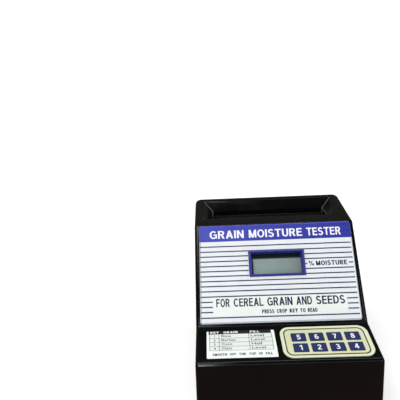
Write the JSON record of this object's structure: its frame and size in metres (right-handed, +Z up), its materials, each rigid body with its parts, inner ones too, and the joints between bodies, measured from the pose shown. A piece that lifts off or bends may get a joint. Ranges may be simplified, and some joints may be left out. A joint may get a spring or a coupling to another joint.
{
  "type": "grain moisture meter",
  "caption": "Desktop grain moisture meter: stepped black console with a top hopper and test cell, sloped display panel, numbered keypad and a crop chart label.",
  "frame": {"origin": "middle of the footprint on the table, at the bottom of the feet", "axes": "+Z up, -Y towards the user (keypad side), +X to the user's right"},
  "size_m": [0.169, 0.1942, 0.1548],
  "materials": {
    "housing": "glossy moulded black",
    "base": "matt black",
    "rubber": "soft black",
    "screw": "zinc plated",
    "cell": "dark moulding",
    "electrode": "brushed stainless sheet",
    "overlay": "printed film, white with blue",
    "bezel": "blue moulding",
    "lcd": "grey-green display film",
    "lcd_glass": "dark display glass",
    "board": "green circuit board",
    "keypad": "cream membrane",
    "key": "navy key top",
    "label": "printed paper label",
    "component": "black epoxy",
    "socket": "natural nylon",
    "battery": "printed steel case",
    "switch": "black",
    "wire_red": "red insulation",
    "wire_black": "black insulation",
    "wire_blue": "blue insulation",
    "wire_yellow": "yellow insulation",
    "ribbon": "grey flat cable"
  },
  "bodies": {
    "case": {"housing": "housing", "base_plate": "base", "foot_1": "rubber", "foot_2": "rubber", "foot_3": "rubber", "foot_4": "rubber", "base_screw_1": "screw", "base_screw_2": "screw", "base_screw_3": "screw", "base_screw_4": "screw", "board_screw_1": "screw", "board_screw_2": "screw", "board_screw_3": "screw", "board_screw_4": "screw", "lcd_screw_1": "screw", "lcd_screw_2": "screw", "test_cell": "cell", "battery_box": "cell", "electrode_front": "electrode", "electrode_rear": "electrode", "cell_thermistor": "electrode", "display_overlay": "overlay", "display_bezel": "bezel", "lcd_film": "lcd", "lcd_glass": "lcd_glass", "lcd_board": "board", "keypad_board": "board", "main_board": "board", "keypad_overlay": "keypad", "chart_label": "label", "mcu_chip": "component", "analog_chip": "component", "cell_socket": "socket", "display_socket": "socket", "keypad_socket": "socket", "power_socket": "socket", "battery_9v": "battery", "battery_snap": "switch", "switch_body": "switch", "lead_battery_pos": "wire_red", "lead_switch": "wire_red", "lead_battery_neg": "wire_black", "lead_thermistor": "wire_black", "lead_cell_front": "wire_blue", "lead_cell_rear": "wire_yellow", "ribbon_display": "ribbon", "ribbon_keypad": "ribbon"},
    "key_1_body": {"key_1": "key"},
    "key_2_body": {"key_2": "key"},
    "key_3_body": {"key_3": "key"},
    "key_4_body": {"key_4": "key"},
    "key_5_body": {"key_5": "key"},
    "key_6_body": {"key_6": "key"},
    "key_7_body": {"key_7": "key"},
    "key_8_body": {"key_8": "key"},
    "power_rocker_body": {"power_rocker": "switch"},
    "battery_door_body": {"battery_door": "base"}
  },
  "joints": [
    {"name": "key_1_press", "type": "slide", "parent": "case", "child": "key_1_body", "axis": [0, 0.1068, -0.9943], "range_m": [0, 0.00045], "stiffness_N_per_m": 1500, "springref_m": -0.0004},
    {"name": "key_2_press", "type": "slide", "parent": "case", "child": "key_2_body", "axis": [0, 0.1068, -0.9943], "range_m": [0, 0.00045], "stiffness_N_per_m": 1500, "springref_m": -0.0004},
    {"name": "key_3_press", "type": "slide", "parent": "case", "child": "key_3_body", "axis": [0, 0.1068, -0.9943], "range_m": [0, 0.00045], "stiffness_N_per_m": 1500, "springref_m": -0.0004},
    {"name": "key_4_press", "type": "slide", "parent": "case", "child": "key_4_body", "axis": [0, 0.1068, -0.9943], "range_m": [0, 0.00045], "stiffness_N_per_m": 1500, "springref_m": -0.0004},
    {"name": "key_5_press", "type": "slide", "parent": "case", "child": "key_5_body", "axis": [0, 0.1068, -0.9943], "range_m": [0, 0.00045], "stiffness_N_per_m": 1500, "springref_m": -0.0004},
    {"name": "key_6_press", "type": "slide", "parent": "case", "child": "key_6_body", "axis": [0, 0.1068, -0.9943], "range_m": [0, 0.00045], "stiffness_N_per_m": 1500, "springref_m": -0.0004},
    {"name": "key_7_press", "type": "slide", "parent": "case", "child": "key_7_body", "axis": [0, 0.1068, -0.9943], "range_m": [0, 0.00045], "stiffness_N_per_m": 1500, "springref_m": -0.0004},
    {"name": "key_8_press", "type": "slide", "parent": "case", "child": "key_8_body", "axis": [0, 0.1068, -0.9943], "range_m": [0, 0.00045], "stiffness_N_per_m": 1500, "springref_m": -0.0004},
    {"name": "power_rocker_tip", "type": "hinge", "parent": "case", "child": "power_rocker_body", "pos_m": [0.05, 0.09171, 0.03995], "axis": [-1, 0, 0], "range_deg": [0, 18]},
    {"name": "battery_door_open", "type": "hinge", "parent": "case", "child": "battery_door_body", "pos_m": [-0.0287, 0.06468, 0.0047], "axis": [0, 1, 0], "range_deg": [0, 70]}
  ]
}
